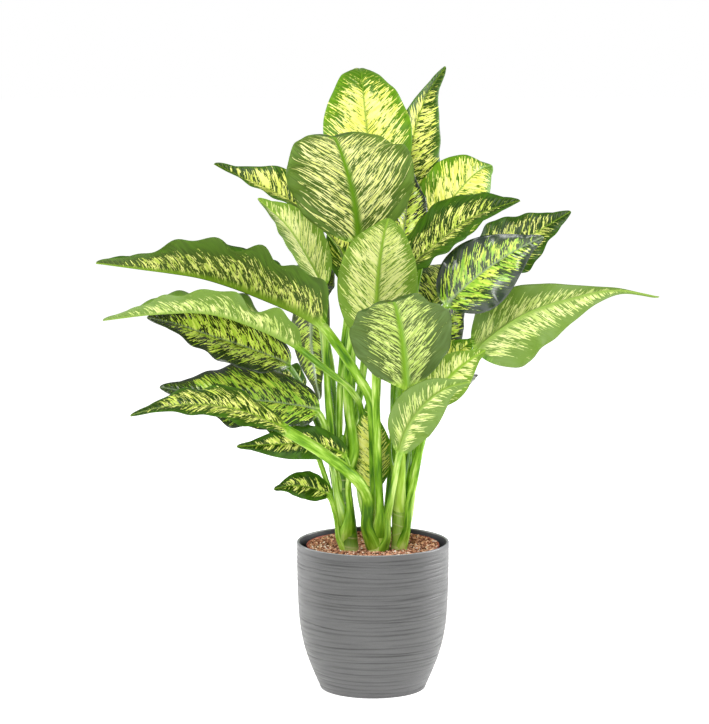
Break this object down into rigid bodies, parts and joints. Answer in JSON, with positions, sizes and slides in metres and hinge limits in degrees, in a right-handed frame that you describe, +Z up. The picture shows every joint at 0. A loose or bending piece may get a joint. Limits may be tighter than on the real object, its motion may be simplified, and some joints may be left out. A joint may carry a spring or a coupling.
{
  "type": "potted dieffenbachia",
  "caption": "Bushy dumb cane house plant with broad pointed leaves streaked cream and green, growing from upright canes in a round ribbed grey pot with a narrow foot.",
  "frame": {"origin": "centre of the outer pot's flat foot, on the surface that it stands on", "axes": "+Z up along the pot's axis, -Y to the front of the plant, +X to the right seen from the front"},
  "size_m": [0.864, 0.612, 0.9722],
  "materials": {
    "grey_pot": "matt glaze over combed grooves",
    "terracotta_plastic": "satin moulded plastic",
    "bark_mix": "loose damp bark chips",
    "green_stem": "smooth waxy fleshy stem",
    "variegated_leaf": "satin waxy leaf, green margin and cream streaks"
  },
  "bodies": {
    "root": {"cane_centre": "green_stem", "cane_left": "green_stem", "cane_right": "green_stem", "leaf_01_crown": "variegated_leaf", "leaf_02_crown_right": "variegated_leaf", "leaf_03_front_upper": "variegated_leaf", "leaf_04_upper_left": "variegated_leaf", "leaf_05_left_pale": "variegated_leaf", "leaf_06_upper_right": "variegated_leaf", "leaf_07_front_centre": "variegated_leaf", "leaf_08_right_upper": "variegated_leaf", "leaf_09_far_right": "variegated_leaf", "leaf_10_right_dark": "variegated_leaf", "leaf_11_right_long": "variegated_leaf", "leaf_12_front": "variegated_leaf", "leaf_13_left_long": "variegated_leaf", "leaf_14_left_pale": "variegated_leaf", "leaf_15_left_gloss": "variegated_leaf", "leaf_16_left_bright": "variegated_leaf", "leaf_17_left_low": "variegated_leaf", "leaf_18_low_front": "variegated_leaf", "leaf_19_small": "variegated_leaf", "leaf_20_inner": "variegated_leaf", "leaf_21_front_right": "variegated_leaf", "leaf_22_right_inner": "variegated_leaf", "leaf_23_right_shade": "variegated_leaf", "leaf_24_left_hanging": "variegated_leaf", "leaf_25_upper_inner": "variegated_leaf", "leaf_26_low_left": "variegated_leaf", "leaf_27_right_bright": "variegated_leaf", "leaf_28_back_right": "variegated_leaf", "leaf_29_back_centre": "variegated_leaf", "leaf_30_back_left": "variegated_leaf", "leaf_31_back_low_left": "variegated_leaf", "leaf_32_back_low_right": "variegated_leaf", "leaf_33_back_upper": "variegated_leaf", "nursery_pot": "terracotta_plastic", "outer_pot": "grey_pot", "potting_mix": "bark_mix"}
  },
  "joints": []
}
